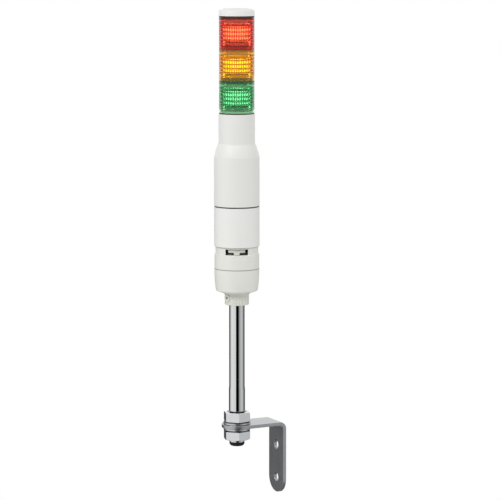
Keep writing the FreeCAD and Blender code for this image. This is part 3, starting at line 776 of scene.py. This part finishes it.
# %% Bow between two corners
def bow(start, end, bulge, count):
    """The corners between start and end along a shallow curve."""
    (r0, z0), (r1, z1) = start, end
    length = math.hypot(r1 - r0, z1 - z0)
    across = ((z0 - z1) / length, (r1 - r0) / length)
    shares = [index / count for index in range(1, count)]
    return [(r0 + (r1 - r0) * t + across[0] * bulge * 4 * t * (1 - t),
             z0 + (z1 - z0) * t + across[1] * bulge * 4 * t * (1 - t)) for t in shares]


print("a bow of 8 runs has", len(bow((0, 0), (1, 0), 0.1, 8)), "corners between its ends")

# %% [markdown]
# ## Copying a solid
# Windows, bosses, ribs and hexagons can't be spun. The solids in the frame hold them exactly, but as
# loose triangles, so a copy is merged, its flat faces are made whole again, and its edges are rounded
# like the rest.

# %% Copy a solid from the frame
FLAT_WITHIN = math.radians(0.4)


def from_frame(name, node, bevel, segments, angle=30):
    """A copy of a solid from the frame, with its flat faces whole again and its edges rounded."""
    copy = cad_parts[node].copy()
    copy.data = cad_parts[node].data.copy()
    copy.name = copy.data.name = name
    for key in list(copy.keys()):
        del copy[key]
    copy.parent = None
    bpy.context.scene.collection.objects.link(copy)
    only(copy)
    bpy.ops.object.mode_set(mode="EDIT")
    bpy.ops.mesh.select_all(action="SELECT")
    bpy.ops.mesh.remove_doubles(threshold=SAME_POINT)
    bpy.ops.mesh.customdata_custom_splitnormals_clear()
    bpy.ops.mesh.dissolve_limited(angle_limit=FLAT_WITHIN)
    bpy.ops.object.mode_set(mode="OBJECT")
    soften(copy, bevel, segments, angle)
    return copy


def fit(piece, node, finish, body="root"):
    """The piece stands for a node, rides on its body and takes its finish."""
    finish.paint(piece)
    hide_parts(node)
    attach(piece, body)


print("solids can be copied and fitted")

# %% [markdown]
# ## The globes
# A globe is a socket below, a spigot above and a smooth wall between. Inside the wall run level prism
# rings, and light caught in each of them shows as a bright bar. A plain tube would look like coloured
# glass: the rings make it a lamp. Each ring here is a shallow arc in the outline, spun with the wall.

# %% Turn a globe
CLEARANCE = 0.1
LENS_WALL = 1.6
SOCKET_DEPTH = 4.0
SPIGOT_WALL = 1.4
RING_LAND = 0.44
PRISM_RINGS = 7
PRISM_PITCH = 4.0
PRISM_GAP = 0.04    # as a share of the pitch, at each side of a ring
PRISM_DEPTH = 0.64


def globe(name, node):
    low, high = low_mm(node).z, high_mm(node).z
    outer = radius_mm(node)
    inner = outer - LENS_WALL
    shoulder = high - SPIGOT_HEIGHT
    socket = inner + CLEARANCE
    outline = [
        (socket, low), (outer, low), (outer, shoulder), (inner, shoulder), (inner, high),
        (inner - SPIGOT_WALL, high), (inner - SPIGOT_WALL, shoulder - SPIGOT_WALL / 2),
        (inner, shoulder - SPIGOT_WALL)]
    rings_start = low + SOCKET_DEPTH + RING_LAND
    for index in reversed(range(PRISM_RINGS)):
        top = (inner, rings_start + (index + 1 - PRISM_GAP) * PRISM_PITCH)
        bottom = (inner, rings_start + (index + PRISM_GAP) * PRISM_PITCH)
        outline += [top, *bow(top, bottom, -PRISM_DEPTH, 6), bottom]
    outline += [(inner, low + SOCKET_DEPTH), (socket, low + SOCKET_DEPTH)]
    return turned(name, outline, bevel=0.12, steps=160)


print("a globe has", PRISM_RINGS, "prism rings")

# %% [markdown]
# ## The three stages
# A stage is a globe, the clear plates in it and the lamp boards behind them. All three are lit: the
# plates glow, as painted light, and those of each stage at a strength of their own, because red
# plastic lets far less light through than amber does.

# %% Fill the three stages
# each stage's plastic, and how strongly and in what colour its plates glow
STAGES = {"red": (red_plastic, 9.0, (0.50, 1.0, 0.80)),
          "amber": (amber_plastic, 2.5, (1.0, 1.0, 0.7)),
          "green": (green_plastic, 3.3, (1.0, 0.92, 0.92))}

for colour, (plastic, glow, glow_colour) in STAGES.items():
    lens, plates, boards = colour + "_lens", colour + "_lens_plates", colour + "_led_boards"
    fit(globe(colour + "_globe", lens), lens, plastic)
    facets = from_frame(colour + "_facets", plates, bevel=0.3, segments=3, angle=40)
    fit(facets, plates, glowing_plate_plastic("plate_in_" + colour, plates, glow, glow_colour))
    lamp_board("lamp_board_" + colour, boards).paint(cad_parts[boards])
print("stages filled:", list(STAGES))

# %% [markdown]
# ## Cap
# The cap is a shallow cone with a flat crown. It sits on the red globe's spigot.

# %% Turn the cap
CAP_SLOPE = 1.9
CAP_FLAT = 13.0

cap_low, cap_high = low_mm("top_cap").z, high_mm("top_cap").z
cap_r = radius_mm("top_cap")
socket_r = radius_mm("red_lens") - LENS_WALL + CLEARANCE
cap_outline = [
    (0, cap_high), (CAP_FLAT, cap_high), (cap_r, cap_high - CAP_SLOPE), (cap_r, cap_low),
    (socket_r, cap_low), (socket_r, cap_low + SPIGOT_HEIGHT), (0, cap_low + SPIGOT_HEIGHT)]
fit(turned("cap", cap_outline, bevel=0.35, segments=3), "top_cap", lit_cap_white)
print("cap turned, radius", round(cap_r, 2), "mm")

# %% [markdown]
# ## Rings
# Gaskets, washers and the ring in the case joint are all plain rings with their edges rounded. The
# gaskets are thin and lie a hair inside the wall, so they read as fine dark lines between the colours.
# The dividers and the rod keep the frame's shape. The dividers are painted black, as painted shade,
# so that the joints between the colours stay dark.

# %% Turn the gaskets
def ring(name, node, bore, bevel, steps=128, segments=2):
    low, high, outer = low_mm(node).z, high_mm(node).z, radius_mm(node)
    outline = [(bore, low), (outer, low), (outer, high), (bore, high)]
    return turned(name, outline, bevel, steps, segments)


for node in ("cap_gasket", "upper_lens_gasket", "lower_lens_gasket", "base_gasket"):
    fit(ring(node + "_ring", node, socket_r, bevel=0.15), node, gasket_rubber)

# painted shade: the dividers are painted black
for node in ("upper_divider", "lower_divider", "base_divider"):
    divider_shade_black.paint(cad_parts[node])
screw_zinc.paint(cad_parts["centre_rod"])
print("gaskets turned, dividers and rod finished")

# %% [markdown]
# ## The upper case
# The upper case swells from the neck to the body over a shoulder that leaves the neck with a crisp turn
# and then bows gently into the wall. It is hollow with an even wall, as every moulding is, and ends in
# a spigot for the green globe.

# %% Turn the upper case
WALL = 2.0
BODY_HEIGHT = 52.9
SHOULDER_HEIGHT = 15.7
SHOULDER_BOW = -0.6
NECK_STEP = 0.3
SPIGOT_ROOT = 4

low, high = low_mm("upper_case").z, high_mm("upper_case").z
case_r = radius_mm("upper_case")
neck_r = cap_r + NECK_STEP
neck_top = low_mm("base_gasket").z
spigot_r = socket_r - CLEARANCE
shoulder_low = low + BODY_HEIGHT
shoulder_high = shoulder_low + SHOULDER_HEIGHT
upper_outline = [
    (case_r - WALL, low), (case_r, low), (case_r, shoulder_low),
    *bow((case_r, shoulder_low), (neck_r, shoulder_high), SHOULDER_BOW, 14), (neck_r, shoulder_high),
    (neck_r, neck_top), (spigot_r, neck_top), (spigot_r, high), (spigot_r - SPIGOT_WALL, high),
    (spigot_r - SPIGOT_WALL, neck_top - SPIGOT_ROOT), (neck_r - WALL, neck_top - SPIGOT_ROOT - WALL),
    (neck_r - WALL, shoulder_high - WALL / 2), (case_r - WALL, shoulder_low)]
upper_body = turned("upper_body", upper_outline, bevel=0.3, steps=160, segments=3)
fit(upper_body, "upper_case", body_white)
print("upper case turned, radius", round(case_r, 2), "mm")

# %% [markdown]
# ## The lower case
# The lower case is a plain drum with the same wall. A rim stands up inside the upper case, and a rubber
# ring between the two keeps water out.

# %% Turn the lower case and its ring
FOOT_CHAMFER = (0.5, 0.8)
RIM_WALL = 1.6

low, high = low_mm("lower_case").z, high_mm("lower_case").z
joint_z = low_mm("case_o_ring").z
rim_r = case_r - WALL - CLEARANCE
lower_outline = [
    (case_r - WALL, low), (case_r - FOOT_CHAMFER[0], low), (case_r, low + FOOT_CHAMFER[1]),
    (case_r, joint_z), (rim_r, joint_z), (rim_r, high), (rim_r - RIM_WALL, high),
    (rim_r - RIM_WALL, joint_z - WALL), (case_r - WALL, joint_z - 2 * WALL)]
lower_body = turned("lower_body", lower_outline, bevel=0.3, steps=160, segments=3)
fit(lower_body, "lower_case", bright_white)
o_ring = ring("body_o_ring", "case_o_ring", case_r - WALL, bevel=0.4, segments=4)
fit(o_ring, "case_o_ring", gasket_rubber)
print("lower case turned, joint at z", round(joint_z, 1), "mm")

# %% [markdown]
# ## Sound ring, lever, pole bracket
# These have windows, bosses and flutes that a spin can't make. The solids in the frame hold them
# exactly, so a copy of each is cleaned, and its edges are rounded. The lever turns on its own body.

# %% Copy and soften the moulded pieces
sound_band = from_frame("sound_band", "sound_ring", bevel=0.35, segments=3)
fit(sound_band, "sound_ring", warm_white)
sound_lever = from_frame("sound_lever", "volume_lever", bevel=0.2, segments=2)
fit(sound_lever, "volume_lever", lever_grey, "volume")
cup_and_collar = from_frame("cup_and_collar", "pole_bracket", bevel=0.3, segments=3)
fit(cup_and_collar, "pole_bracket", warm_white)
collar_screw = from_frame("collar_screw", "clamp_screw", bevel=0.1, segments=1)
fit(collar_screw, "clamp_screw", screw_zinc)
print("sound ring, lever and pole bracket done")

# %% [markdown]
# ## Inside the case
# The buzzer, the case screws and the control board keep the frame's shape, because little of them is
# seen.

# %% Finish what lies inside
buzzer_black.paint(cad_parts["buzzer"])
screw_zinc.paint(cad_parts["case_screws"])
control_board_green.paint(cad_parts["control_board"])
print("buzzer, screws and control board finished")

# %% [markdown]
# ## The pole
# The pole is a plated tube. Its foot is a little thicker, tapers into the tube above the nuts, and is
# cut down by the depth of the thread where the thread runs.

# %% Turn the pole
THREAD_DEPTH = 0.5
THREAD_ABOVE_NUT = 0.8
THREAD_RUNOUT = 0.4
TUBE_RADIUS = 8.6
TUBE_WALL = 1.6
FOOT_ABOVE_NUT = 29
FOOT_TAPER = 4.0

pole_low, pole_high = low_mm("pole").z, high_mm("pole").z
bore_r = TUBE_RADIUS - TUBE_WALL
foot_r = radius_mm("pole")
core_r = foot_r - THREAD_DEPTH
thread_end = nut_top + THREAD_ABOVE_NUT
foot_top = nut_top + FOOT_ABOVE_NUT
pole_outline = [
    (bore_r, pole_low), (core_r, pole_low), (core_r, thread_end), (foot_r, thread_end + THREAD_RUNOUT),
    (foot_r, foot_top - FOOT_TAPER), (TUBE_RADIUS, foot_top), (TUBE_RADIUS, pole_high),
    (bore_r, pole_high)]
pole = turned("chrome_pole", pole_outline, bevel=0.15)
print("pole turned, foot radius", round(foot_r, 2), "mm")

# %% [markdown]
# ## The thread
# The pole's foot is cut with a fine thread, one millimetre a turn. A Screw modifier winds one small
# tooth up the pole, which gives a true helix with few faces. The tooth is a closed triangle whose root
# is sunk into the core, so that no gap shows under it.

# %% Wind the thread
THREAD_PITCH = 1.0
THREAD_LEAD = 0.6
THREAD_ROOT = 0.15
TOOTH_HALF = 0.47 * THREAD_PITCH


def thread(name, low, high, outer):
    """A helical tooth between two heights, one pitch a turn."""
    reach = THREAD_DEPTH + THREAD_ROOT
    piece = start_point(name, outer - reach, low)
    for across, up in ((reach, TOOTH_HALF), (-reach, TOOTH_HALF), (0, -2 * TOOTH_HALF)):
        extrude_by(across, up)
    bpy.ops.mesh.select_all(action="SELECT")
    bpy.ops.mesh.remove_doubles(threshold=SAME_POINT)
    bpy.ops.object.mode_set(mode="OBJECT")
    bpy.ops.object.empty_add(location=(axis_x * MM, 0, 0))
    axis = bpy.context.object
    apply_modifier(piece, "SCREW", axis="Z", object=axis, angle=2 * math.pi, steps=72, render_steps=72,
                   iterations=int((high - low) / THREAD_PITCH), screw_offset=THREAD_PITCH * MM,
                   use_smooth_shade=False)
    bpy.data.objects.remove(axis)
    bpy.ops.object.mode_set(mode="EDIT")
    bpy.ops.mesh.select_all(action="SELECT")
    bpy.ops.mesh.fill_holes(sides=3)
    bpy.ops.mesh.select_all(action="SELECT")
    bpy.ops.mesh.normals_make_consistent(inside=False)
    bpy.ops.object.mode_set(mode="OBJECT")
    return piece


pole_thread = thread("pole_thread", pole_low + THREAD_LEAD, thread_end + THREAD_RUNOUT, foot_r)
only(pole)
pole_thread.select_set(True)
bpy.ops.object.join()
fit(pole, "pole", pole_chrome)
print("thread wound up to z", round(thread_end, 1), "mm")

# %% [markdown]
# ## Nuts, washers, bracket and bush
# The hexagon nuts keep the frame's shape, whose corners are cut back by a cone. The washers are turned,
# and the bracket's edges are rounded as a press tool leaves them.

# %% Finish the foot
WASHER_CLEARANCE = 0.25

for node in ("upper_nut", "lower_nut"):
    nut = from_frame(node + "_hex", node, bevel=0.22, segments=2, angle=20)
    fit(nut, node, nut_zinc)
for node in ("upper_washer", "lower_washer"):
    washer = ring(node + "_disc", node, foot_r + WASHER_CLEARANCE, bevel=0.3, steps=96, segments=3)
    fit(washer, node, washer_zinc)
wall_bracket = from_frame("wall_bracket", "mounting_bracket", bevel=0.3, segments=3)
fit(wall_bracket, "mounting_bracket", bracket_zinc)
pole_bush = from_frame("pole_bush", "end_bush", bevel=0.3, segments=2)
fit(pole_bush, "end_bush", bush_rubber)
print("nuts, washers, bracket and bush done")

# %% [markdown]
# ## Finish
# The view is shown with the Standard transform, so a colour renders about as it was written.

# %% Finish the view
bpy.context.scene.view_settings.view_transform = "Standard"
